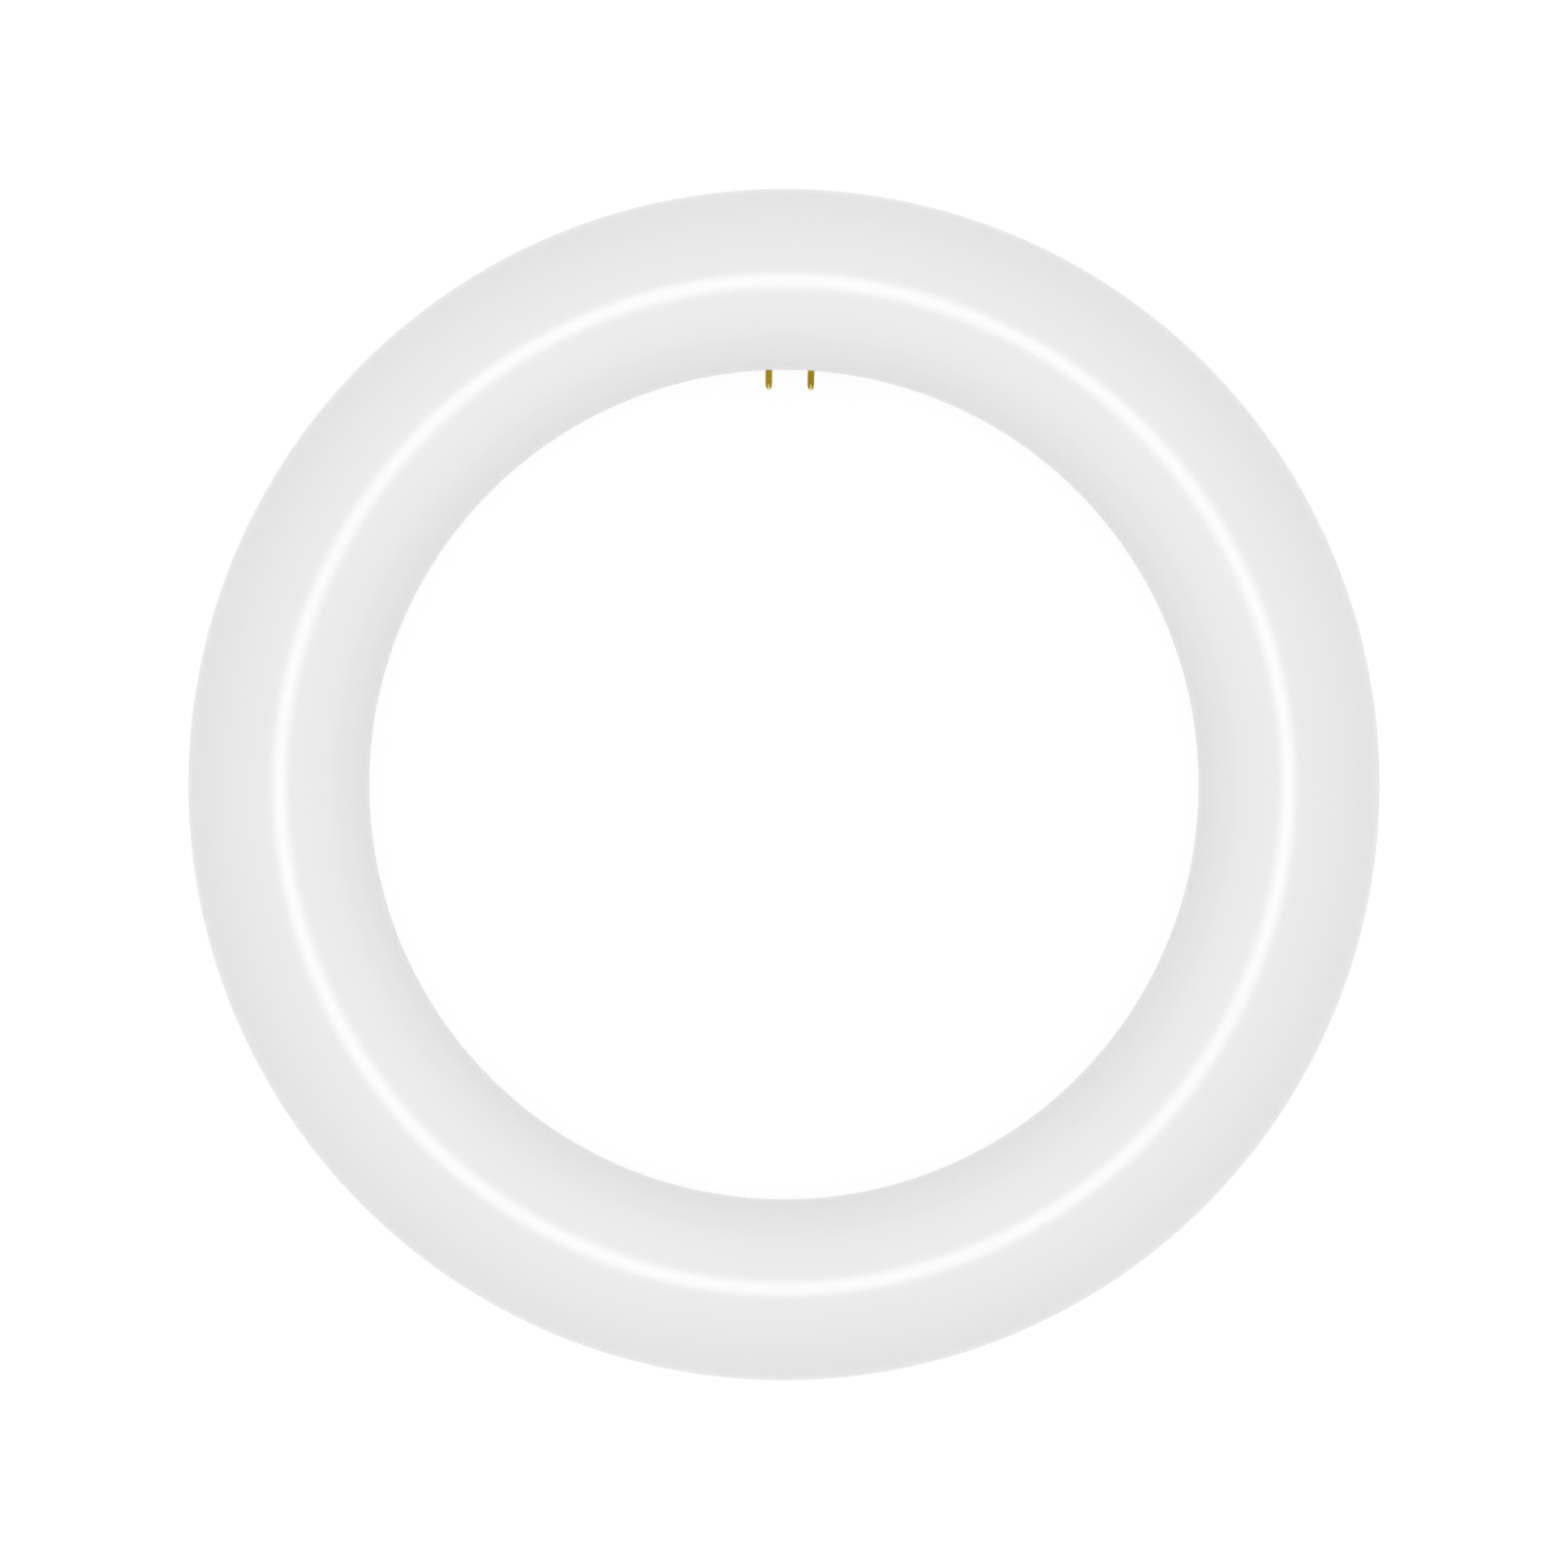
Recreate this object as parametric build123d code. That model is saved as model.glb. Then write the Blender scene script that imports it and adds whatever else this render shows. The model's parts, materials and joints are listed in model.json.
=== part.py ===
from build123d import *
from math import cos, degrees, radians, sin, sqrt
import os

# Ring-shaped LED lamp with a four-pin base. The origin is the centre of the ring, +Z points out of the
# front (the light side) and +Y points at the base. All sizes are in millimetres.

# Ring: a round tube bent into a circle
RING_DIAMETER = 216.0
TUBE_DIAMETER = 32.0

# Seam between the opal front and the rear housing, in a plane below the tube's middle
SEAM_DROP = 4.2
SEAM_ROUND = 0.35
HOUSING_WALL = 2.2
TONGUE_DEPTH = 3.0
TONGUE_GAP = 0.1

# Base: the moulded sector that closes the rear half, and its flat that faces inwards and down
BASE_LENGTH = 46.0
BASE_JOINT_GAP = 0.15
BASE_JOINT_ROUND = 0.3
BASE_TILT = 45.0
BASE_FACE_DISTANCE = 15.5
FLAT_LENGTH = 34.0
FLAT_HEIGHT = 15.6
FLAT_CORNER = 4.0
PAD_LENGTH = 26.0
PAD_HEIGHT = 10.4
PAD_CORNER = 3.0
PAD_ROOT_DEPTH = 3.4

# Insulating plate, let into the pad
PLATE_LENGTH = 21.0
PLATE_HEIGHT = 9.0
PLATE_CORNER = 2.2
PLATE_THICKNESS = 2.4
PLATE_PROUD = 0.2
PLATE_GAP = 0.1
PLATE_EDGE_ROUND = 0.15

# Four hollow pins on a rectangle, each with a tapered tip that a drop of solder closes
PIN_SPACING_ALONG = 7.92
PIN_SPACING_ACROSS = 6.35
PIN_DIAMETER = 1.3
PIN_REACH = 5.1
PIN_ROOT_DIAMETER = 2.0
PIN_ROOT_DEPTH = 4.2
PIN_COLLAR_RISE = 0.3
PIN_HOLE_GAP = 0.02
PIN_BORE_DIAMETER = 0.8
PIN_BORE_DEPTH = 0.5
TIP_DIAMETER = 1.12
TIP_LENGTH = 1.25
SOLDER_RISE = 0.6
SOLDER_EDGE_GAP = 0.03
SOLDER_BORE_GAP = 0.02

# Two fixing screws, driven from behind
SCREW_FROM_END = 6.0
SCREW_HEAD_DIAMETER = 5.4
SCREW_HEAD_THICKNESS = 1.6
SCREW_HEAD_ROUND = 0.6
SCREW_HEAD_SINK = 0.3
SCREW_HEAD_GAP = 0.3
SCREW_SHANK_DIAMETER = 2.9
SCREW_SHANK_LENGTH = 12.0
SCREW_HOLE_GAP = 0.1
SCREW_PILOT_GAP = 0.02
CROSS_LENGTH = 3.0
CROSS_WIDTH = 0.7
CROSS_DEPTH = 0.9

# Sizes worked out from the ones above
TUBE_RADIUS = TUBE_DIAMETER / 2
RING_RADIUS = (RING_DIAMETER - TUBE_DIAMETER) / 2
CUTTER = 2 * TUBE_DIAMETER
TONGUE_HALF_WIDTH = sqrt(TUBE_RADIUS**2 - SEAM_DROP**2) - HOUSING_WALL
BASE_HALF_ANGLE = degrees(BASE_LENGTH / 2 / RING_RADIUS)
JOINT_GAP_ANGLE = degrees(BASE_JOINT_GAP / RING_RADIUS)
SCREW_ANGLE = degrees((BASE_LENGTH / 2 - SCREW_FROM_END) / RING_RADIUS)
SCREW_SEAT_Z = -TUBE_RADIUS + SCREW_HEAD_SINK + SCREW_HEAD_THICKNESS
PLATE_FACE_DISTANCE = BASE_FACE_DISTANCE + PLATE_PROUD
BASE_DIRECTION = 90.0

# The base's own plane stands on the tube's centre line and looks along the pins
BASE_AXIS = Vector(0, -cos(radians(BASE_TILT)), -sin(radians(BASE_TILT)))
BASE_PLANE = Plane(origin=(0, RING_RADIUS, 0), x_dir=(1, 0, 0), z_dir=BASE_AXIS)


def swept_round_ring(profile, centre_angle=0.0, arc=360.0):
    """Turns a tube section about the ring's axis, over an arc centred on an angle from +X."""
    section = Plane.XZ * Pos(RING_RADIUS, 0) * profile
    start = Rot(0, 0, centre_angle - arc / 2)
    return start * revolve(section, Axis.Z, revolution_arc=arc)


def tube_section(above_seam):
    """Gives the part of the tube's round section above or below the seam, with soft edges at the seam."""
    side = -1 if above_seam else 1
    other_half = Pos(0, -SEAM_DROP + side * CUTTER / 2) * Rectangle(CUTTER, CUTTER)
    half = Circle(TUBE_RADIUS) - other_half
    return fillet(half.vertices(), SEAM_ROUND)


def tongue_section(gap):
    """Gives the tongue under the front's seam face, or with no gap the groove that takes it."""
    width = 2 * (TONGUE_HALF_WIDTH - gap)
    depth = TONGUE_DEPTH - gap
    return Pos(0, -SEAM_DROP - depth / 2) * Rectangle(width, depth)


def soften_joint(sector):
    """Rounds the outer edge of a sector's two end faces, where housing and base meet."""
    ends = [face for face in sector.faces().filter_by(GeomType.PLANE) if abs(face.normal_at().Z) < 0.5]
    edges = [edge for face in ends for edge in face.edges().filter_by(GeomType.CIRCLE)]
    outer = [edge for edge in edges if edge.radius > TUBE_RADIUS - SEAM_ROUND]
    return fillet(outer, BASE_JOINT_ROUND)


def on_base(shape, distance=0.0):
    """Places a shape on the base's plane, at a distance from the tube's centre line."""
    return BASE_PLANE.offset(distance) * shape


def at_screws(shape):
    """Places a copy of a shape at each screw, on the tube's centre line."""
    places = []
    for sign in (-1, 1):
        turn = Rot(0, 0, BASE_DIRECTION + sign * SCREW_ANGLE)
        places.append(turn * Pos(RING_RADIUS, 0, 0) * shape)
    return places


def upright_cylinder(diameter, low, high):
    """Gives a cylinder on the Z axis between two heights."""
    return Pos(0, 0, low) * Cylinder(diameter / 2, high - low, align=(Align.CENTER, Align.CENTER, Align.MIN))


def pin_places():
    """Lists the four pin centres on the base's plane, upper row first."""
    along = PIN_SPACING_ALONG / 2
    across = PIN_SPACING_ACROSS / 2
    return [(-along, across), (along, across), (-along, -across), (along, -across)]


def pin_holes(diameter, low, high):
    """Gives the four pin holes between two distances along the base's axis."""
    hole = upright_cylinder(diameter, low, high)
    return [on_base(Pos(x, y, 0) * hole) for x, y in pin_places()]


def build_diffuser_ring():
    """Builds the opal front: a closed ring with a tongue that stops short of the base."""
    ring = swept_round_ring(tube_section(above_seam=True))
    tongue_arc = 360 - 2 * (BASE_HALF_ANGLE + 2 * JOINT_GAP_ANGLE)
    ring += swept_round_ring(tongue_section(TONGUE_GAP), BASE_DIRECTION + 180, tongue_arc)
    pilot_top = SCREW_SEAT_Z + SCREW_SHANK_LENGTH + SCREW_PILOT_GAP
    pilot_diameter = SCREW_SHANK_DIAMETER + 2 * SCREW_PILOT_GAP
    pilot = upright_cylinder(pilot_diameter, -TUBE_RADIUS, pilot_top)
    return ring - at_screws(pilot)


def build_rear_housing():
    """Builds the rear half, a grooved channel whose two ends stop at the base."""
    arc = 360 - 2 * (BASE_HALF_ANGLE + JOINT_GAP_ANGLE)
    section = tube_section(above_seam=False) - tongue_section(0.0)
    return soften_joint(swept_round_ring(section, BASE_DIRECTION + 180, arc))


def build_base_body():
    """Builds the base: a sector of the rear half with a flat, a pad round the plate, and screw seats."""
    body = swept_round_ring(tube_section(above_seam=False), BASE_DIRECTION, 2 * BASE_HALF_ANGLE)
    body = soften_joint(body)
    flat = extrude(RectangleRounded(FLAT_LENGTH, FLAT_HEIGHT, FLAT_CORNER), CUTTER)
    body -= on_base(flat, BASE_FACE_DISTANCE)
    pad = extrude(RectangleRounded(PAD_LENGTH, PAD_HEIGHT, PAD_CORNER), PAD_ROOT_DEPTH)
    body += on_base(pad, BASE_FACE_DISTANCE - PAD_ROOT_DEPTH)
    pocket_corner = PLATE_CORNER + PLATE_GAP
    pocket = RectangleRounded(PLATE_LENGTH + 2 * PLATE_GAP, PLATE_HEIGHT + 2 * PLATE_GAP, pocket_corner)
    pocket_floor = PLATE_FACE_DISTANCE - PLATE_THICKNESS
    body -= on_base(extrude(pocket, CUTTER), pocket_floor)
    hole_diameter = PIN_ROOT_DIAMETER + 2 * PIN_HOLE_GAP
    body -= pin_holes(hole_diameter, PLATE_FACE_DISTANCE - PIN_ROOT_DEPTH, BASE_FACE_DISTANCE)
    head_room = upright_cylinder(SCREW_HEAD_DIAMETER + 2 * SCREW_HEAD_GAP, -CUTTER, SCREW_SEAT_Z)
    shank_room = upright_cylinder(SCREW_SHANK_DIAMETER + 2 * SCREW_HOLE_GAP, -CUTTER, 0)
    return body - at_screws(head_room) - at_screws(shank_room)


def build_pin_plate():
    """Builds the insulating plate with its four pin holes."""
    plate = extrude(RectangleRounded(PLATE_LENGTH, PLATE_HEIGHT, PLATE_CORNER), PLATE_THICKNESS)
    plate = fillet(plate.faces().sort_by(Axis.Z)[-1].edges(), PLATE_EDGE_ROUND)
    plate = on_base(plate, PLATE_FACE_DISTANCE - PLATE_THICKNESS)
    hole_diameter = PIN_ROOT_DIAMETER + 2 * PIN_HOLE_GAP
    return plate - pin_holes(hole_diameter, 0, PLATE_FACE_DISTANCE + PIN_REACH)


def pin_shape():
    """Turns one pin on its own axis: a thick root with a collar, a shank, a tapered tip and an open bore."""
    root_radius = PIN_ROOT_DIAMETER / 2
    radius = PIN_DIAMETER / 2
    tip_radius = TIP_DIAMETER / 2
    bore = PIN_BORE_DIAMETER / 2
    root = PLATE_FACE_DISTANCE - PIN_ROOT_DEPTH
    collar = PLATE_FACE_DISTANCE + PIN_COLLAR_RISE
    end = PLATE_FACE_DISTANCE + PIN_REACH
    taper = end - TIP_LENGTH
    outline = Polyline((0, root), (root_radius, root), (root_radius, collar), (radius, collar), (radius, taper))
    outline += TangentArc((radius, taper), (tip_radius, end), tangent=(0, 1))
    outline += Polyline((tip_radius, end), (bore, end), (bore, end - PIN_BORE_DEPTH))
    outline += Polyline((bore, end - PIN_BORE_DEPTH), (0, end - PIN_BORE_DEPTH), (0, root))
    return revolve(Plane.XZ * make_face(outline), Axis.Z)


def solder_shape():
    """Turns one drop of solder: a dome on the pin's tip and a plug in its bore."""
    radius = TIP_DIAMETER / 2 - SOLDER_EDGE_GAP
    plug = PIN_BORE_DIAMETER / 2 - SOLDER_BORE_GAP
    end = PLATE_FACE_DISTANCE + PIN_REACH
    floor = end - PIN_BORE_DEPTH
    top = end + SOLDER_RISE
    shoulder = (radius * sin(radians(45)), end + SOLDER_RISE * cos(radians(45)))
    outline = Polyline((0, top), (0, floor), (plug, floor), (plug, end), (radius, end))
    outline += Spline([(radius, end), shoulder, (0, top)], tangents=[(0, 1), (-1, 0)])
    return revolve(Plane.XZ * make_face(outline), Axis.Z)


def screw_shape():
    """Turns one screw: a rounded head with a cross recess below, and a plain shank above."""
    head_low = SCREW_SEAT_Z - SCREW_HEAD_THICKNESS
    head = upright_cylinder(SCREW_HEAD_DIAMETER, head_low, SCREW_SEAT_Z)
    head = fillet(head.edges().sort_by(Axis.Z)[0], SCREW_HEAD_ROUND)
    slot = Box(CROSS_LENGTH, CROSS_WIDTH, 2 * CROSS_DEPTH)
    cross = Pos(0, 0, head_low) * (slot + Rot(0, 0, 90) * slot)
    shank = upright_cylinder(SCREW_SHANK_DIAMETER, SCREW_SEAT_Z, SCREW_SEAT_Z + SCREW_SHANK_LENGTH)
    return head - cross + shank


def build_parts():
    """Builds every piece of the lamp, under the name of its node."""
    parts = {
        "diffuser_ring": build_diffuser_ring(),
        "rear_housing": build_rear_housing(),
        "base_body": build_base_body(),
        "pin_plate": build_pin_plate(),
    }
    for number, (x, y) in enumerate(pin_places(), start=1):
        parts[f"contact_pin_{number}"] = on_base(Pos(x, y, 0) * pin_shape())
        parts[f"pin_solder_{number}"] = on_base(Pos(x, y, 0) * solder_shape())
    right_screw, left_screw = at_screws(screw_shape())
    parts["base_screw_left"] = left_screw
    parts["base_screw_right"] = right_screw
    return parts


os.makedirs("parts", exist_ok=True)
for name, shape in build_parts().items():
    export_step(shape, f"parts/{name}.step")
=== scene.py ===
import json
import logging
import math
from dataclasses import dataclass
from enum import Enum

import bpy
import numpy as np
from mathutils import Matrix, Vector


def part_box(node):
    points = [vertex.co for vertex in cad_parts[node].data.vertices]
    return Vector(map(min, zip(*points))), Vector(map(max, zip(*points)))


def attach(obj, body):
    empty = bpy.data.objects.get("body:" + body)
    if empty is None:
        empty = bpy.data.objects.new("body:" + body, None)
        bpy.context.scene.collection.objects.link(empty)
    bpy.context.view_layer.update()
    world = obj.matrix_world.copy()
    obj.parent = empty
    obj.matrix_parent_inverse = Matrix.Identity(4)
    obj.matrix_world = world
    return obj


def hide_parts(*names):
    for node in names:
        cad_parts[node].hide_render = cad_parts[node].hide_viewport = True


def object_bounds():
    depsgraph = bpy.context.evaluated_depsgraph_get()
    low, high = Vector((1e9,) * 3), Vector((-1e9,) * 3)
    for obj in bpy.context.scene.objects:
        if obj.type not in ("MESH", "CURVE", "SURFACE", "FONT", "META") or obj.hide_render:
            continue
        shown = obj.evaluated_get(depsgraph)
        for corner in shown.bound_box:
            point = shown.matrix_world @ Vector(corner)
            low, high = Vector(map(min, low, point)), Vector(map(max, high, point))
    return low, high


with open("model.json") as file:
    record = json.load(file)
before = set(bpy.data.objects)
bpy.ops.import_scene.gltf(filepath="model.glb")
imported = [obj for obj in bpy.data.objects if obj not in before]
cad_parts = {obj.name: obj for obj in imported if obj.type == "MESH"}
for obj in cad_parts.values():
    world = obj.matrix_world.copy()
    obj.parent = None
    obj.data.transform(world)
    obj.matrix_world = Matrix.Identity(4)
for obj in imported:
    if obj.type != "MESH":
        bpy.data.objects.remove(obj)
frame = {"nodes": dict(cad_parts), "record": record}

# This scene dresses a ring-shaped LED lamp: an opal front, a white housing behind it, a moulded
# base with brass pins, and two fixing screws. Lengths are in metres. The origin is the ring's
# centre, +Z points out of the front and +Y points at the base.

LOG = logging.getLogger("ring_lamp")
CAD_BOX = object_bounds()
MM = 0.001
RIGHT_ANGLE = math.pi / 2
FULL_TURN = 2.0 * math.pi

# Faces that meet at less than this angle are shaded as one surface
SMOOTH_LIMIT = math.radians(35.0)

# The mesh attribute that says how strongly each point of a pin takes the painted highlight colour
PAINTED_HIGHLIGHT = "highlight_paint"

Color = tuple[float, float, float]


class Side(Enum):
    """The two sides of the seam that parts the ring."""

    FRONT = 1
    BACK = -1


def cad_sizes() -> tuple[float, float, float]:
    """Reads the ring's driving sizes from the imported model.

    Returns:
        The ring's centre-line radius, the tube's radius and the seam's height.
    """
    low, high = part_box("diffuser_ring")
    tube_radius = high.z
    ring_radius = (high.x - low.x) / 2 - tube_radius
    seam_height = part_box("rear_housing")[1].z
    return ring_radius, tube_radius, seam_height


def pin_mounts() -> list[dict]:
    """Lists the record's four pin mounts in order.

    Returns:
        One mount for each pin, with its place, axis and sizes.
    """
    mounts = [m for m in frame["record"]["mounts"] if m["name"].startswith("pin_")]
    return sorted(mounts, key=lambda m: m["name"])


# Meshes

def arc_points(centre: tuple[float, float], radius: float, start: float, end: float,
               count: int) -> np.ndarray:
    """Gives points on an arc: centre plus radius times the cosine and sine of the angle.

    Args:
        centre: The arc's centre in its plane.
        radius: The arc's radius.
        start: The first angle in radians.
        end: The last angle in radians.
        count: How many points to give.

    Returns:
        An array of count rows with two columns.
    """
    angle = np.linspace(start, end, count)
    first = centre[0] + radius * np.cos(angle)
    second = centre[1] + radius * np.sin(angle)
    return np.stack([first, second], axis=1)


def steps_round(count: int) -> np.ndarray:
    """Gives the angles of evenly spaced steps round a full turn, as one row."""
    return np.linspace(0.0, FULL_TURN, count, endpoint=False)[None, :]


def signed_volume(points: np.ndarray, quads: np.ndarray) -> float:
    """Adds up the volume between the origin and each quad, above zero where faces look outwards.

    Each quad is two triangles, and each triangle adds a sixth of its three corners' triple product.

    Args:
        points: All vertices, one a row.
        quads: Four vertex numbers a row.

    Returns:
        The signed volume in cubic metres.
    """
    a, b, c, d = (points[quads[:, i]] for i in range(4))
    first = np.einsum("ij,ij->i", a, np.cross(b, c))
    second = np.einsum("ij,ij->i", a, np.cross(c, d))
    return float((first + second).sum() / 6)


def mesh_object(name: str, points: np.ndarray, faces: list) -> bpy.types.Object:
    """Makes an object of a mesh whose place is in its vertices, smooth but for its sharp corners.

    Args:
        name: The new piece's name.
        points: All vertices, one a row.
        faces: Lists of vertex numbers.

    Returns:
        The new object, linked to the scene.
    """
    mesh = bpy.data.meshes.new(name)
    mesh.from_pydata(points.tolist(), [], faces)
    mesh.polygons.foreach_set("use_smooth", np.ones(len(mesh.polygons), bool))
    mesh.set_sharp_from_angle(angle=SMOOTH_LIMIT)
    mesh.update()
    piece = bpy.data.objects.new(name, mesh)
    bpy.context.scene.collection.objects.link(piece)
    return piece


def grid_quads(rows: int, columns: int, close_rows: bool) -> np.ndarray:
    """Numbers the quads of a grid whose vertices are stored row by row, each row a closed loop.

    Args:
        rows: How many rows of vertices there are.
        columns: How many vertices a row has.
        close_rows: Whether the last row meets the first.

    Returns:
        Four vertex numbers a row.
    """
    row = np.arange(rows if close_rows else rows - 1)[:, None]
    column = np.arange(columns)[None, :]
    next_row, next_column = (row + 1) % rows, (column + 1) % columns
    corners = (row * columns + column, next_row * columns + column,
               next_row * columns + next_column, row * columns + next_column)
    return np.stack([np.broadcast_to(c, (row.size, columns)).ravel() for c in corners], axis=1)


def swept_sections(sections: np.ndarray, angles: np.ndarray,
                   closed: bool) -> tuple[np.ndarray, list]:
    """Carries closed sections round the ring: x and y are the radius times cosine and sine.

    Args:
        sections: One outline for each angle, with the radius and the height in its last axis.
        angles: Where each section stands, from +X in radians.
        closed: Whether the last section meets the first; otherwise both ends get a cap.

    Returns:
        The vertices and the faces.
    """
    turn = angles[:, None]
    radius, height = sections[:, :, 0], sections[:, :, 1]
    points = np.stack([radius * np.cos(turn), radius * np.sin(turn), height], axis=2).reshape(-1, 3)
    rows, columns = radius.shape
    quads = grid_quads(rows, columns, closed)
    cap = np.arange(columns)
    ends = [] if closed else [cap, cap[::-1] + (rows - 1) * columns]
    if signed_volume(points, quads) < 0:
        quads = quads[:, ::-1]
        ends = [end[::-1] for end in ends]
    return points, quads.tolist() + [end.tolist() for end in ends]


def lathe(outline: np.ndarray, swell: np.ndarray) -> tuple[np.ndarray, list]:
    """Turns an outline that starts and ends on its axis: radius times cosine and sine, and height.

    Args:
        outline: The radius and height in each row, from the low pole to the high pole.
        swell: A factor on the radius, with a row for each of the outline's rows between the poles
            and a column for each step round.

    Returns:
        The vertices and the faces, with one vertex at each pole.
    """
    body = outline[1:-1]
    turns = swell.shape[1]
    angle = steps_round(turns)
    radius = body[:, 0:1] * swell
    height = np.broadcast_to(body[:, 1:2], radius.shape)
    grid = np.stack([radius * np.cos(angle), radius * np.sin(angle), height], axis=2)
    poles = np.array([[0.0, 0.0, outline[0, 1]], [0.0, 0.0, outline[-1, 1]]])
    points = np.concatenate([grid.reshape(-1, 3), poles])
    quads = grid_quads(len(body), turns, False)
    low, high = len(points) - 2, len(points) - 1
    step = np.arange(turns)
    after = (step + 1) % turns
    last = (len(body) - 1) * turns
    low_fan = np.stack([np.full(turns, low), step, after], axis=1)
    high_fan = np.stack([np.full(turns, high), last + after, last + step], axis=1)
    faces = quads.tolist() + low_fan.tolist() + high_fan.tolist()
    if signed_volume(points, quads) < 0:
        faces = [face[::-1] for face in faces]
    return points, faces


def placed(points: np.ndarray, origin: np.ndarray, axis: np.ndarray) -> np.ndarray:
    """Moves points from an upright frame to a leaning one.

    Each point goes to the origin plus its x, y and z shares of the leaning frame's three axes.

    Args:
        points: The vertices in the upright frame.
        origin: Where the upright frame's origin goes.
        axis: The direction that the upright Z axis takes, at right angles to +X.

    Returns:
        The moved vertices.
    """
    side = np.array([1.0, 0.0, 0.0])
    across = np.cross(axis, side)
    return origin + points[:, 0:1] * side + points[:, 1:2] * across + points[:, 2:3] * axis


# Materials

class Nodes:
    """A node tree that is filled by short calls."""

    def __init__(self, tree: bpy.types.NodeTree) -> None:
        """Keeps the tree and empties it."""
        self.tree = tree
        self.tree.nodes.clear()

    def add(self, kind: str, inputs: dict | None = None, **settings: object) -> bpy.types.Node:
        """Adds one node.

        Args:
            kind: The node's type name.
            inputs: Socket names, each with a value or with the output that feeds it.
            settings: The node's own settings.

        Returns:
            The new node.
        """
        node = self.tree.nodes.new(kind)
        for key, value in settings.items():
            setattr(node, key, value)
        for key, value in (inputs or {}).items():
            socket = node.inputs[key]
            if isinstance(value, bpy.types.NodeSocket):
                self.tree.links.new(value, socket)
            else:
                socket.default_value = value
        return node

    def math(self, operation: str, first: object, second: object) -> bpy.types.NodeSocket:
        """Adds a math node on two values and gives its output."""
        return self.add("ShaderNodeMath", {0: first, 1: second}, operation=operation).outputs[0]

    def spread(self, value: bpy.types.NodeSocket, low: float, high: float, to_low: float,
               to_high: float) -> bpy.types.NodeSocket:
        """Maps a value's range to another range, and holds it inside.

        Args:
            value: The output that is mapped.
            low: The range's low end.
            high: The range's high end.
            to_low: What the low end becomes.
            to_high: What the high end becomes.

        Returns:
            The mapped output.
        """
        inputs = {"Value": value, "From Min": low, "From Max": high,
                  "To Min": to_low, "To Max": to_high}
        return self.add("ShaderNodeMapRange", inputs).outputs["Result"]

    def mixed(self, share: bpy.types.NodeSocket, first: object, second: object,
              blend: str = "MIX") -> bpy.types.NodeSocket:
        """Mixes two colours.

        Args:
            share: The output that says how much of the second colour shows.
            first: A colour of four numbers, or the output that feeds it.
            second: The other colour, or its output.
            blend: The way to mix them.

        Returns:
            The mixed colour's output.
        """
        inputs = {"Factor": share, "A": first, "B": second}
        mix = self.add("ShaderNodeMix", inputs, data_type="RGBA", blend_type=blend)
        return mix.outputs["Result"]

    def relief(self, height: bpy.types.NodeSocket, depth: float) -> bpy.types.NodeSocket:
        """Adds a bump node that makes a height this deep, and gives its normals."""
        inputs = {"Height": height, "Strength": 1.0, "Distance": depth}
        return self.add("ShaderNodeBump", inputs).outputs["Normal"]


def new_material(name: str) -> tuple[bpy.types.Material, Nodes]:
    """Starts a material, and gives it with the helper that holds its empty tree."""
    material = bpy.data.materials.new(name)
    material.use_nodes = True
    return material, Nodes(material.node_tree)


def new_group(name: str, inputs: dict[str, float],
              outputs: list[str]) -> tuple[Nodes, dict[str, bpy.types.NodeSocket], bpy.types.Node]:
    """Starts a shader node group whose named sockets each carry a value.

    Args:
        name: The group's name.
        inputs: Socket names, each with its usual value.
        outputs: Socket names.

    Returns:
        The helper that holds the group's tree, the given values by name, and the output node.
    """
    group = bpy.data.node_groups.new(name, "ShaderNodeTree")
    for socket, value in inputs.items():
        made = group.interface.new_socket(socket, in_out="INPUT", socket_type="NodeSocketFloat")
        made.default_value = value
    for socket in outputs:
        group.interface.new_socket(socket, in_out="OUTPUT", socket_type="NodeSocketFloat")
    nodes = Nodes(group)
    source = nodes.add("NodeGroupInput")
    target = nodes.add("NodeGroupOutput")
    return nodes, {s.name: s for s in source.outputs if s.name}, target


def build_mould_grain() -> bpy.types.NodeTree:
    """Builds the group that gives a moulded skin: broad flow waves under a fine spark-eroded grain.

    Returns:
        A group with Grain Size and Flow Size in metres, and the outputs Height and Flow.
    """
    sizes = {"Grain Size": 0.4 * MM, "Flow Size": 30.0 * MM}
    nodes, given, target = new_group("Mould grain", sizes, ["Height", "Flow"])
    place = nodes.add("ShaderNodeTexCoord").outputs["Object"]
    grain_scale = nodes.math("DIVIDE", 1.0, given["Grain Size"])
    flow_scale = nodes.math("DIVIDE", 1.0, given["Flow Size"])
    grain = nodes.add("ShaderNodeTexNoise", {
        "Vector": place, "Scale": grain_scale, "Detail": 3.0, "Roughness": 0.55})
    flow = nodes.add("ShaderNodeTexNoise", {
        "Vector": place, "Scale": flow_scale, "Detail": 2.0, "Roughness": 0.4})
    nodes.tree.links.new(grain.outputs["Fac"], target.inputs["Height"])
    nodes.tree.links.new(flow.outputs["Fac"], target.inputs["Flow"])
    return nodes.tree


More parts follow.
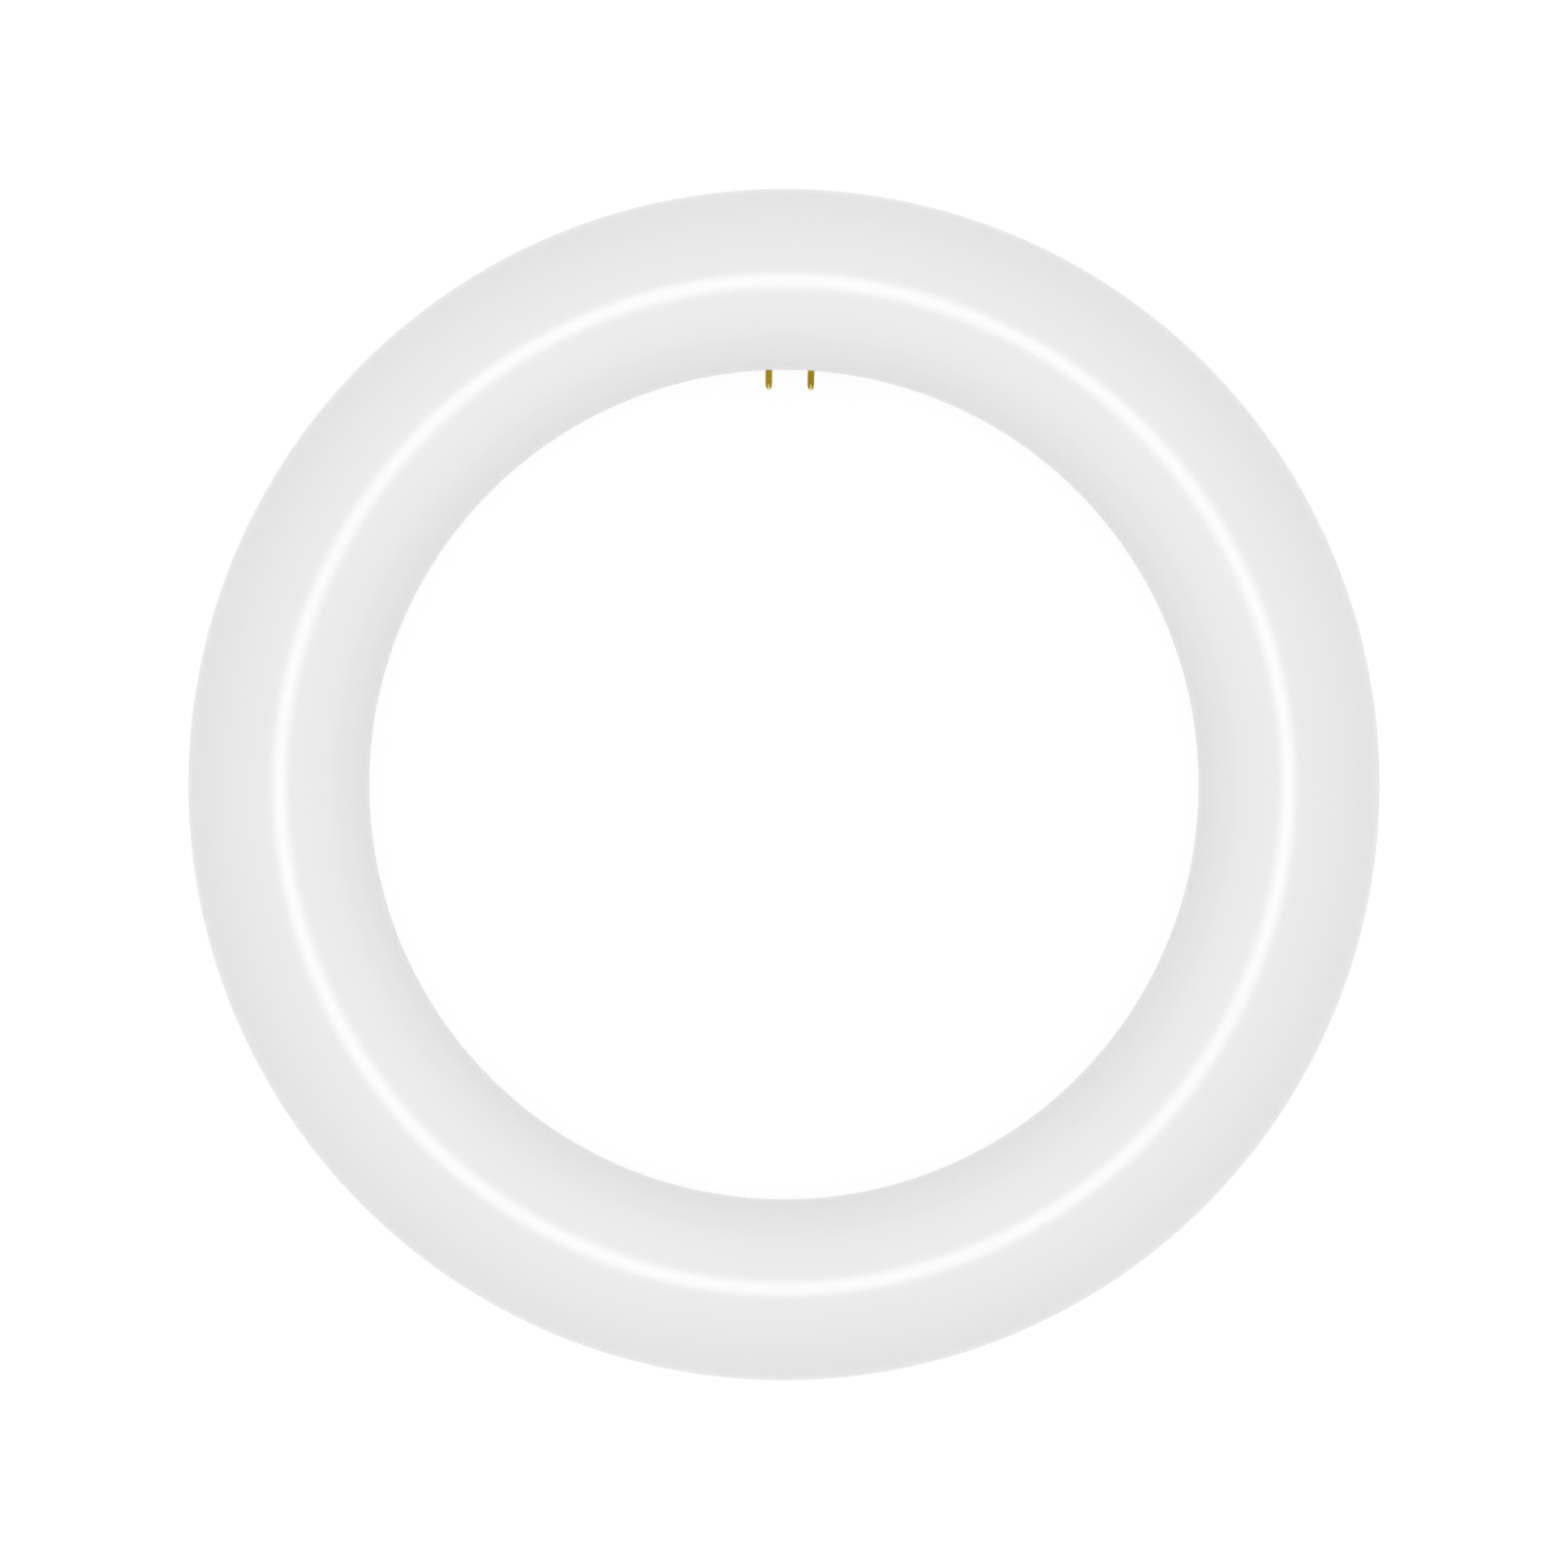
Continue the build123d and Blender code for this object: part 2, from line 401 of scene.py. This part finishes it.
def build_handling_marks() -> bpy.types.NodeTree:
    """Builds the group that gives faint rub marks and specks of dust.

    The rub marks are the noise above its middle, and a speck is what lies close to a cell's centre.

    Returns:
        A group with Rub Size and Speck Size in metres, and the outputs Rub and Speck.
    """
    sizes = {"Rub Size": 12.0 * MM, "Speck Size": 4.0 * MM}
    nodes, given, target = new_group("Handling marks", sizes, ["Rub", "Speck"])
    place = nodes.add("ShaderNodeTexCoord").outputs["Object"]
    rub_scale = nodes.math("DIVIDE", 1.0, given["Rub Size"])
    speck_scale = nodes.math("DIVIDE", 1.0, given["Speck Size"])
    rub = nodes.add("ShaderNodeTexNoise", {
        "Vector": place, "Scale": rub_scale, "Detail": 5.0, "Roughness": 0.7, "Distortion": 0.6})
    speck = nodes.add("ShaderNodeTexVoronoi", {
        "Vector": place, "Scale": speck_scale, "Randomness": 1.0})
    rub_start, rub_full = 0.5, 0.75
    speck_core, speck_edge = 0.03, 0.07
    rubbed = nodes.spread(rub.outputs["Fac"], rub_start, rub_full, 0.0, 1.0)
    dust = nodes.spread(speck.outputs["Distance"], speck_core, speck_edge, 1.0, 0.0)
    nodes.tree.links.new(rubbed, target.inputs["Rub"])
    nodes.tree.links.new(dust, target.inputs["Speck"])
    return nodes.tree


@dataclass(frozen=True)
class PlasticFinish:
    """A moulded plastic: colour, gloss, the grain that the mould leaves, and handling marks."""

    name: str
    color: Color
    shade: Color
    roughness: float
    rubbed: float
    grain_size: float
    grain_height: float
    flow_size: float
    speck_share: float
    flow_low: float = 0.3
    flow_high: float = 0.7
    refraction: float = 1.49

    def build(self, grain: bpy.types.NodeTree, marks: bpy.types.NodeTree) -> bpy.types.Material:
        """Builds the material.

        Args:
            grain: The mould grain group.
            marks: The handling marks group.

        Returns:
            The finished material.
        """
        material, nodes = new_material(self.name)
        skin = nodes.add("ShaderNodeGroup", {
            "Grain Size": self.grain_size, "Flow Size": self.flow_size}, node_tree=grain)
        wear = nodes.add("ShaderNodeGroup", node_tree=marks)
        shade = (*self.shade, 1.0)
        waves = nodes.spread(skin.outputs["Flow"], self.flow_low, self.flow_high, 0.0, 1.0)
        tone = nodes.mixed(waves, (*self.color, 1.0), shade)
        dust = nodes.math("MULTIPLY", wear.outputs["Speck"], self.speck_share)
        dusty = nodes.mixed(dust, tone, shade, "MULTIPLY")
        gloss = nodes.spread(wear.outputs["Rub"], 0.0, 1.0, self.roughness, self.rubbed)
        normal = nodes.relief(skin.outputs["Height"], self.grain_height)
        surface = nodes.add("ShaderNodeBsdfPrincipled", {
            "Base Color": dusty, "Roughness": gloss, "Normal": normal, "IOR": self.refraction})
        nodes.add("ShaderNodeOutputMaterial", {"Surface": surface.outputs["BSDF"]})
        return material


@dataclass(frozen=True)
class MetalFinish:
    """A worked metal: its colours, gloss and fine tool marks, and a painted highlight colour if it
    has one.
    """

    name: str
    bright: Color
    dull: Color
    roughness: float
    dull_roughness: float
    mark_size: float
    mark_height: float
    # A bright colour painted over the tone as a highlight, for metals that have one
    highlight_color: Color | None = None
    flow_per_mark: float = 12.0
    rub_per_mark: float = 6.0
    dull_low: float = 0.35
    dull_high: float = 0.7
    dull_share: float = 0.8

    def build(self, grain: bpy.types.NodeTree, marks: bpy.types.NodeTree) -> bpy.types.Material:
        """Builds the material.

        Args:
            grain: The mould grain group, which stands for the tool's marks at a smaller size.
            marks: The handling marks group.

        Returns:
            The finished material.
        """
        material, nodes = new_material(self.name)
        flow_size = self.mark_size * self.flow_per_mark
        rub_size = self.mark_size * self.rub_per_mark
        skin = nodes.add("ShaderNodeGroup", {
            "Grain Size": self.mark_size, "Flow Size": flow_size}, node_tree=grain)
        wear = nodes.add("ShaderNodeGroup", {"Rub Size": rub_size}, node_tree=marks)
        waves = nodes.spread(skin.outputs["Flow"], self.dull_low, self.dull_high, 0.0, 1.0)
        dulled = nodes.math("MULTIPLY", waves, self.dull_share)
        tone = nodes.mixed(dulled, (*self.bright, 1.0), (*self.dull, 1.0))
        # Paints the highlight colour where the mesh attribute asks for it
        if self.highlight_color:
            highlight_paint = nodes.add("ShaderNodeAttribute", attribute_name=PAINTED_HIGHLIGHT, attribute_type="GEOMETRY")
            tone = nodes.mixed(highlight_paint.outputs["Fac"], tone, (*self.highlight_color, 1.0))
        gloss = nodes.spread(wear.outputs["Rub"], 0.0, 1.0, self.roughness, self.dull_roughness)
        normal = nodes.relief(skin.outputs["Height"], self.mark_height)
        surface = nodes.add("ShaderNodeBsdfPrincipled", {
            "Base Color": tone, "Roughness": gloss, "Metallic": 1.0, "Normal": normal})
        nodes.add("ShaderNodeOutputMaterial", {"Surface": surface.outputs["BSDF"]})
        return material


OPAL = PlasticFinish(
    "opal_front", color=(0.835, 0.835, 0.835), shade=(0.825, 0.825, 0.824),
    roughness=0.22, rubbed=0.24, grain_size=0.9 * MM, grain_height=0.0015 * MM,
    flow_size=45.0 * MM, speck_share=0.03)
HOUSING = PlasticFinish(
    "white_housing", color=(0.80, 0.80, 0.795), shade=(0.785, 0.785, 0.778),
    roughness=0.36, rubbed=0.44, grain_size=0.5 * MM, grain_height=0.012 * MM,
    flow_size=40.0 * MM, speck_share=0.10)
BASE = PlasticFinish(
    "white_base", color=(0.78, 0.78, 0.772), shade=(0.76, 0.76, 0.75),
    roughness=0.40, rubbed=0.48, grain_size=0.4 * MM, grain_height=0.014 * MM,
    flow_size=20.0 * MM, speck_share=0.12)
INSULATOR = PlasticFinish(
    "pin_insulator", color=(0.70, 0.695, 0.67), shade=(0.67, 0.665, 0.64),
    roughness=0.48, rubbed=0.56, grain_size=0.3 * MM, grain_height=0.010 * MM,
    flow_size=10.0 * MM, speck_share=0.10)
# The brass's third colour is a painted highlight, put on the pins' upper side by a mesh attribute
BRASS = MetalFinish(
    "pin_brass", bright=(0.415, 0.275, 0.015), dull=(0.33, 0.215, 0.012),
    roughness=0.22, dull_roughness=0.34, mark_size=0.2 * MM, mark_height=0.002 * MM,
    highlight_color=(0.84, 0.65, 0.17))
SOLDER = MetalFinish(
    "pin_solder", bright=(0.82, 0.745, 0.53), dull=(0.72, 0.65, 0.46),
    roughness=0.20, dull_roughness=0.34, mark_size=0.3 * MM, mark_height=0.006 * MM)
ZINC = MetalFinish(
    "screw_zinc", bright=(0.66, 0.67, 0.69), dull=(0.55, 0.56, 0.57),
    roughness=0.26, dull_roughness=0.40, mark_size=0.5 * MM, mark_height=0.004 * MM)


def dress(piece: bpy.types.Object, material: bpy.types.Material) -> None:
    """Gives a piece one material on every face."""
    piece.data.materials.clear()
    piece.data.materials.append(material)


# Pieces

@dataclass(frozen=True)
class RingShell:
    """The two halves of the round tube, parted by a seam below the tube's middle."""

    ring_radius: float
    tube_radius: float
    seam_height: float
    seam_round: float = 0.35 * MM
    wall: float = 2.2 * MM
    tongue_depth: float = 3.0 * MM
    tongue_gap: float = 0.1 * MM
    joint_gap: float = 0.15 * MM
    joint_round: float = 0.3 * MM
    base_length: float = 46.0 * MM
    base_angle: float = RIGHT_ANGLE
    tongue_end_step: float = 0.01 * MM
    curve_steps: int = 104
    corner_steps: int = 7
    ring_steps: int = 576
    end_steps: int = 7

    def section(self, side: Side, inset: float = 0.0) -> np.ndarray:
        """Draws one half of the tube's round section, with a small round where it meets the seam.

        The seam's round is a circle that touches the tube's circle from inside and the seam's line.
        Its centre is one radius from the line, and the tube's radius less its own from the tube's
        centre.

        Args:
            side: Which half to draw.
            inset: How much smaller than the tube the section is.

        Returns:
            The open outline from the outer seam corner over the curve to the inner one, with the
            radius and height in each row.
        """
        small, large = self.seam_round, self.tube_radius - inset
        height = self.seam_height + side.value * small
        across = math.sqrt((large - small) ** 2 - height**2)
        touch = math.atan2(height, across)
        seam_end = -side.value * RIGHT_ANGLE
        outer_corner = arc_points((across, height), small, seam_end, touch, self.corner_steps)
        far_end = side.value * math.pi - touch
        curve = arc_points((0.0, 0.0), large, touch, far_end, self.curve_steps)
        inner_corner = outer_corner[::-1] * np.array([-1.0, 1.0])
        outline = np.concatenate([outer_corner[:-1], curve, inner_corner[1:]])
        return outline + np.array([self.ring_radius, 0.0])

    def groove(self, gap: float, depth: float, lean: float = 0.0) -> np.ndarray:
        """Draws the groove in the housing, or the tongue that fills it, from inner to outer corner.

        Its half width is the tube's half width at the seam, less the wall and the gap.

        Args:
            gap: How much narrower than the groove it is on each side.
            depth: How far it reaches below the seam.
            lean: How much narrower it is at its foot than at the seam, on each side.

        Returns:
            Four corners as radius and height.
        """
        half = math.sqrt(self.tube_radius**2 - self.seam_height**2) - self.wall - gap
        top, low, foot = self.seam_height, self.seam_height - depth, half - lean
        corners = np.array([[-half, top], [-foot, low], [foot, low], [half, top]])
        return corners + np.array([self.ring_radius, 0.0])

    def beside_base(self, gap: float) -> tuple[float, float]:
        """Works out where a half starts and ends: half the base and a gap from the base's middle.

        Args:
            gap: How far it stays from each of the base's ends.

        Returns:
            The start and end angles, from +X.
        """
        half = (self.base_length / 2 + gap) / self.ring_radius
        return self.base_angle + half, self.base_angle + FULL_TURN - half

    def build_front(self) -> bpy.types.Object:
        """Builds the opal front: a closed ring whose tongue stops short of the base."""
        outline, gap = self.section(Side.FRONT), self.tongue_gap
        tongue = np.concatenate([outline, self.groove(gap, self.tongue_depth - gap)])
        plain = np.concatenate([outline, self.groove(gap, 0.0, lean=self.wall)])
        start, end = self.beside_base(2 * self.joint_gap)
        plain_steps = round(self.ring_steps * (FULL_TURN - (end - start)) / FULL_TURN)
        tongue_steps = self.ring_steps - plain_steps
        step = self.tongue_end_step / self.ring_radius
        behind = np.linspace(start, end, tongue_steps)
        beside = np.linspace(end + step, start + FULL_TURN - step, plain_steps)
        sections = np.stack([tongue] * tongue_steps + [plain] * plain_steps)
        points, faces = swept_sections(sections, np.concatenate([behind, beside]), True)
        return mesh_object("ring_front", points, faces)

    def build_back(self) -> bpy.types.Object:
        """Builds the white housing: a grooved channel, its two ends rounded by a quarter circle.

        At each step of the quarter the section is smaller by the round's radius times one less the
        sine, and stands further in by the radius times one less the cosine.
        """
        quarter = np.linspace(0.0, RIGHT_ANGLE, self.end_steps)
        inset = self.joint_round * (1.0 - np.sin(quarter))
        along = self.joint_round * (1.0 - np.cos(quarter)) / self.ring_radius
        start, end = self.beside_base(self.joint_gap)
        middle = np.linspace(start + along[-1], end - along[-1], self.ring_steps)
        angles = np.concatenate([start + along[:-1], middle, end - along[-2::-1]])
        insets = np.concatenate([inset[:-1], np.zeros(self.ring_steps), inset[-2::-1]])
        groove = self.groove(0.0, self.tongue_depth)
        sections = np.stack([np.concatenate([self.section(Side.BACK, d), groove]) for d in insets])
        points, faces = swept_sections(sections, angles, False)
        return mesh_object("ring_housing", points, faces)


@dataclass(frozen=True)
class ContactPin:
    """One brass pin with a tapered, punched tip, a painted highlight streak, and the drop of solder
    that closes it.
    """

    number: int
    middle: np.ndarray
    axis: np.ndarray
    radius: float
    length: float
    root_radius: float = 1.0 * MM
    root_depth: float = 4.2 * MM
    collar_rise: float = 0.3 * MM
    tip_radius: float = 0.56 * MM
    tip_length: float = 1.25 * MM
    edge_round: float = 0.05 * MM
    punch_depth: float = 0.085 * MM
    punch_length: float = 1.0 * MM
    punch_angle: float = math.radians(26.0)
    # Length, width, narrow end and onset of the highlight streak painted on the tip's upper side
    highlight_length: float = 1.18 * MM
    highlight_angle: float = math.radians(20.0)
    highlight_narrow_end: float = 0.45
    highlight_onset: float = 6.0
    solder_rise: float = 0.48 * MM
    solder_bluntness: float = 0.5
    solder_sink: float = 0.3 * MM
    solder_gap: float = 0.01 * MM
    solder_foot: float = 0.7
    solder_unevenness: float = 0.02
    turns: int = 144
    tip_steps: int = 60
    edge_steps: int = 6
    solder_steps: int = 24

    @property
    def tip_end(self) -> float:
        """Gives the tip's end on the pin's axis, from the shank's middle."""
        return self.length / 2 + self.tip_length

    def place(self, points: np.ndarray) -> np.ndarray:
        """Places points given from the shank's middle, along the pin's axis."""
        return placed(points, self.middle, self.axis)

    def shank_outline(self) -> np.ndarray:
        """Draws root, collar, shank and tip, whose arc leaves the shank's line without a corner.

        The arc's radius is the tip's length squared plus the taper squared, over twice the taper.

        Returns:
            The radius and the distance along the axis, from the root's end to the tip's end.
        """
        collar = -self.length / 2
        root_low = collar - self.collar_rise - self.root_depth
        small = self.edge_round
        root = np.array([[0.0, root_low], [self.root_radius, root_low]])
        rim_centre = (self.root_radius - small, collar - small)
        rim = arc_points(rim_centre, small, 0.0, RIGHT_ANGLE, self.edge_steps)
        foot = np.array([[self.radius, collar]])
        taper = self.radius - self.tip_radius
        bend = (self.tip_length**2 + taper**2) / (2 * taper)
        turn = math.asin((self.tip_length - small) / bend)
        tip = arc_points((self.radius - bend, self.length / 2), bend, 0.0, turn, self.tip_steps)
        lip_centre = (tip[-1, 0] - small, self.tip_end - small)
        lip = arc_points(lip_centre, small, 0.0, RIGHT_ANGLE, self.edge_steps)
        return np.concatenate([root, rim, foot, tip, lip[1:], [[0.0, self.tip_end]]])

    def tip_share(self, outline: np.ndarray, length: float) -> np.ndarray:
        """Gives how far along a stretch that ends at the tip's lip each row lies, from 0 to 1."""
        start = self.tip_end - self.edge_round - length
        return np.clip((outline[1:-1, 1:2] - start) / length, 0.0, 1.0)

    def off_upper_side(self) -> np.ndarray:
        """Gives each step's angle from the pin's upper side, within half a turn."""
        around = steps_round(self.turns) - RIGHT_ANGLE
        return np.arctan2(np.sin(around), np.cos(around))

    def punch_mark(self, outline: np.ndarray) -> np.ndarray:
        """Works out the dent of a punch in the tip's upper side, as a factor on the radius.

        Along the axis it is the square of the way in, times one less the way's sixth power, over
        that product's peak, which lies where the sixth power is a quarter. Round the axis it is e
        to the power of minus the square of the angle over the mark's own angle.

        Args:
            outline: The pin's outline.

        Returns:
            A factor for each row of the outline between its poles, and each step round.
        """
        share = self.tip_share(outline, self.punch_length)
        deepest = 0.25 ** (1 / 6)
        peak = deepest**2 * (1.0 - deepest**6)
        depth = self.punch_depth * share**2 * (1.0 - share**6) / peak
        fade = np.exp(-((self.off_upper_side() / self.punch_angle) ** 2))
        return 1.0 - depth / self.radius * fade

    def painted_highlight_mask(self, outline: np.ndarray) -> np.ndarray:
        """Works out where a highlight is painted on the pin's upper side, as a bright streak.

        The streak is a wedge that widens evenly towards the tip. Across it the mask is e to the
        power of minus the square of the angle over the width. Along it the mask comes up evenly in
        the wedge's first stretch, and then stays.

        Args:
            outline: The pin's outline.

        Returns:
            A value from 0 to 1 for each vertex of the turned pin, its two poles last.
        """
        share = self.tip_share(outline, self.highlight_length)
        width = self.highlight_angle * (self.highlight_narrow_end + (1.0 - self.highlight_narrow_end) * share)
        strength = np.clip(self.highlight_onset * share, 0.0, 1.0)
        mask = strength * np.exp(-((self.off_upper_side() / width) ** 2))
        return np.append(mask.ravel(), (0.0, 0.0))

    def build_pin(self) -> bpy.types.Object:
        """Builds the pin: its outline turned about its axis, punched and given a painted highlight
        on its upper side.
        """
        outline = self.shank_outline()
        points, faces = lathe(outline, self.punch_mark(outline))
        piece = mesh_object(f"pin_{self.number}", self.place(points), faces)
        # Each point's share of the painted highlight colour
        highlight_paint = piece.data.attributes.new(PAINTED_HIGHLIGHT, "FLOAT", "POINT")
        highlight_paint.data.foreach_set("value", self.painted_highlight_mask(outline))
        return piece

    def build_solder(self) -> bpy.types.Object:
        """Builds the solder: a blunt drop, a bit out of round, whose foot sits in the tip's lip.

        Its radius and height go as powers of the cosine and sine, which makes an ellipse blunter.
        It is out of round by a sine of twice the angle, most at the middle of its outline.
        """
        widest = self.tip_radius - self.solder_gap
        angle = np.linspace(0.0, RIGHT_ANGLE, self.solder_steps)
        across = widest * np.cos(angle) ** self.solder_bluntness
        upward = self.tip_end + self.solder_rise * np.sin(angle) ** self.solder_bluntness
        low = self.tip_end - self.solder_sink
        foot = [[0.0, low], [widest * self.solder_foot, low]]
        outline = np.concatenate([foot, np.stack([across, upward], axis=1)])
        rows = np.linspace(0.0, math.pi, len(outline) - 2)[:, None]
        wave = 1.0 + np.sin(2.0 * steps_round(self.turns) + self.number)
        points, faces = lathe(outline, 1.0 - self.solder_unevenness * np.sin(rows) * wave)
        return mesh_object(f"pin_end_{self.number}", self.place(points), faces)


# Studio

@dataclass(frozen=True)
class RoundLamp:
    """A round lamp that looks straight down from above the ring's centre."""

    name: str
    radius: float
    height: float
    power: float
    glossy: bool

    def build(self) -> None:
        """Builds the lamp; one without gloss leaves no highlight of its own."""
        light = bpy.data.lights.new(self.name, "AREA")
        light.shape = "DISK"
        light.size = 2 * self.radius
        light.energy = self.power
        lamp = bpy.data.objects.new(self.name, light)
        lamp.location = (0.0, 0.0, self.height)
        lamp.visible_glossy = self.glossy
        lamp.visible_camera = False
        bpy.context.scene.collection.objects.link(lamp)


@dataclass(frozen=True)
class Studio:
    """The pale floor, the soft light and the camera that looks straight at the lamp's front."""

    floor_height: float
    floor_half: float = 3.0
    floor_pale: float = 0.82
    floor_shade: float = 0.15
    floor_glow: float = 0.885
    camera_distance: float = 362.2 * MM
    camera_near: float = 10.0 * MM
    camera_lens: float = 45.57
    camera_turn: float = math.radians(0.83)
    camera_aim: float = 0.11 * MM
    zenith_level: float = 0.60
    horizon_level: float = 1.15
    seen_level: float = 1.0
    line_lamp: RoundLamp = RoundLamp(
        "line_lamp", radius=57.0 * MM, height=363.2 * MM, power=0.142, glossy=True)
    front_lamp: RoundLamp = RoundLamp(
        "front_lamp", radius=60.0 * MM, height=300.0 * MM, power=0.102, glossy=False)

    def build_floor(self) -> bpy.types.Object:
        """Builds the floor: pale as it lights the piece, white where it is seen, open from below.

        The white glows by itself and takes a weak share of the studio's light.
        """
        edge, height = self.floor_half, self.floor_height
        corners = np.array([[-edge, -edge, height], [edge, -edge, height],
                            [edge, edge, height], [-edge, edge, height]])
        floor = mesh_object("floor", corners, [[0, 1, 2, 3]])
        material, nodes = new_material("pale_floor")
        seen = self.seen_ray(nodes)
        pale = nodes.add("ShaderNodeBsdfDiffuse", {"Color": self.grey(self.floor_pale)})
        shaded = nodes.add("ShaderNodeBsdfDiffuse", {"Color": self.grey(self.floor_shade)})
        glow = nodes.add("ShaderNodeEmission", {
            "Color": self.grey(1.0), "Strength": self.floor_glow})
        white = nodes.add("ShaderNodeAddShader", {0: shaded.outputs[0], 1: glow.outputs[0]})
        upper = nodes.add("ShaderNodeMixShader", {0: seen, 1: pale.outputs[0], 2: white.outputs[0]})
        behind = nodes.add("ShaderNodeNewGeometry").outputs["Backfacing"]
        open_below = nodes.add("ShaderNodeBsdfTransparent")
        both = nodes.add("ShaderNodeMixShader", {
            0: behind, 1: upper.outputs[0], 2: open_below.outputs[0]})
        nodes.add("ShaderNodeOutputMaterial", {"Surface": both.outputs[0]})
        dress(floor, material)
        return floor

    @staticmethod
    def grey(level: float) -> tuple[float, float, float, float]:
        """Gives an opaque grey of one level."""
        return (level, level, level, 1.0)

    @staticmethod
    def seen_ray(nodes: Nodes) -> bpy.types.NodeSocket:
        """Gives 1 for the rays that show the background: of the camera, of gloss and of glass."""
        path = nodes.add("ShaderNodeLightPath")
        direct = nodes.math("MAXIMUM", path.outputs["Is Camera Ray"], path.outputs["Is Glossy Ray"])
        return nodes.math("MAXIMUM", direct, path.outputs["Is Transmission Ray"])

    def build_sky(self) -> None:
        """Builds the world: a light tent's pale sides and weaker top, white where it is seen."""
        world = bpy.data.worlds.new("studio")
        world.use_nodes = True
        nodes = Nodes(world.node_tree)
        ray = nodes.add("ShaderNodeTexCoord").outputs["Generated"]
        upward = nodes.add("ShaderNodeSeparateXYZ", {"Vector": ray}).outputs["Z"]
        level = nodes.spread(upward, 0.0, 1.0, self.horizon_level, self.zenith_level)
        lit = nodes.add("ShaderNodeBackground", {"Color": self.grey(1.0), "Strength": level})
        plain = nodes.add("ShaderNodeBackground", {
            "Color": self.grey(1.0), "Strength": self.seen_level})
        sky = nodes.add("ShaderNodeMixShader", {
            0: self.seen_ray(nodes), 1: lit.outputs[0], 2: plain.outputs[0]})
        nodes.add("ShaderNodeOutputWorld", {"Surface": sky.outputs[0]})
        bpy.context.scene.world = world

    def build_lamps(self) -> None:
        """Builds the lamp that draws the bright line round the crown, and the one without gloss."""
        for lamp in (self.line_lamp, self.front_lamp):
            lamp.build()

    def build_camera(self) -> None:
        """Builds the camera over the ring, turned until the base leans as it does in the photo."""
        camera = bpy.data.cameras.new("camera")
        camera.lens = self.camera_lens
        camera.clip_start = self.camera_near
        eye = bpy.data.objects.new("camera", camera)
        eye.location = (0.0, self.camera_aim, self.camera_distance)
        eye.rotation_euler = (0.0, 0.0, self.camera_turn)
        bpy.context.scene.collection.objects.link(eye)
        bpy.context.scene.camera = eye


def add_piece(piece: bpy.types.Object, slot: str, *nodes: str) -> None:
    """Puts a new piece on the lamp's one body and hides the CAD nodes that it stands for.

    Args:
        piece: The new piece.
        slot: Not used.
        nodes: The CAD nodes that the piece stands for.
    """
    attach(piece, "root")
    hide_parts(*nodes)
    count = len(piece.data.polygons)
    LOG.info("%s stands for %s with %d faces", piece.name, ", ".join(nodes), count)


def main() -> None:
    """Builds the lamp's pieces in order, dresses them and sets the studio."""
    logging.basicConfig(level=logging.INFO, format="%(name)s: %(message)s")
    grain, marks = build_mould_grain(), build_handling_marks()
    plastics = (OPAL, HOUSING, BASE, INSULATOR)
    metals = (BRASS, SOLDER, ZINC)
    finishes = {look.name: look.build(grain, marks) for look in plastics + metals}

    shell = RingShell(*cad_sizes())
    front, back = shell.build_front(), shell.build_back()
    dress(front, finishes["opal_front"])
    dress(back, finishes["white_housing"])
    add_piece(front, "opal_front", "diffuser_ring")
    add_piece(back, "white_housing", "rear_housing")

    for number, mount in enumerate(pin_mounts(), start=1):
        middle, axis = np.array(mount["pos_m"]), np.array(mount["axis"])
        radius, length = mount["dims"]["r_mm"] * MM, mount["dims"]["length_mm"] * MM
        pin = ContactPin(number, middle, axis, radius, length)
        brass, solder = pin.build_pin(), pin.build_solder()
        dress(brass, finishes["pin_brass"])
        dress(solder, finishes["pin_solder"])
        add_piece(brass, "pin_brass", f"contact_pin_{number}")
        add_piece(solder, "pin_solder", f"pin_solder_{number}")

    kept = {"base_body": "white_base", "pin_plate": "pin_insulator",
            "base_screw_left": "screw_zinc", "base_screw_right": "screw_zinc"}
    for node, finish in kept.items():
        dress(frame["nodes"][node], finishes[finish])
        LOG.info("%s keeps its CAD shape, in %s", node, finish)

    studio = Studio(floor_height=CAD_BOX[0][2])
    studio.build_floor()
    studio.build_sky()
    studio.build_lamps()
    studio.build_camera()
    bpy.context.scene.view_settings.view_transform = "Standard"


if __name__ == "__main__":
    main()
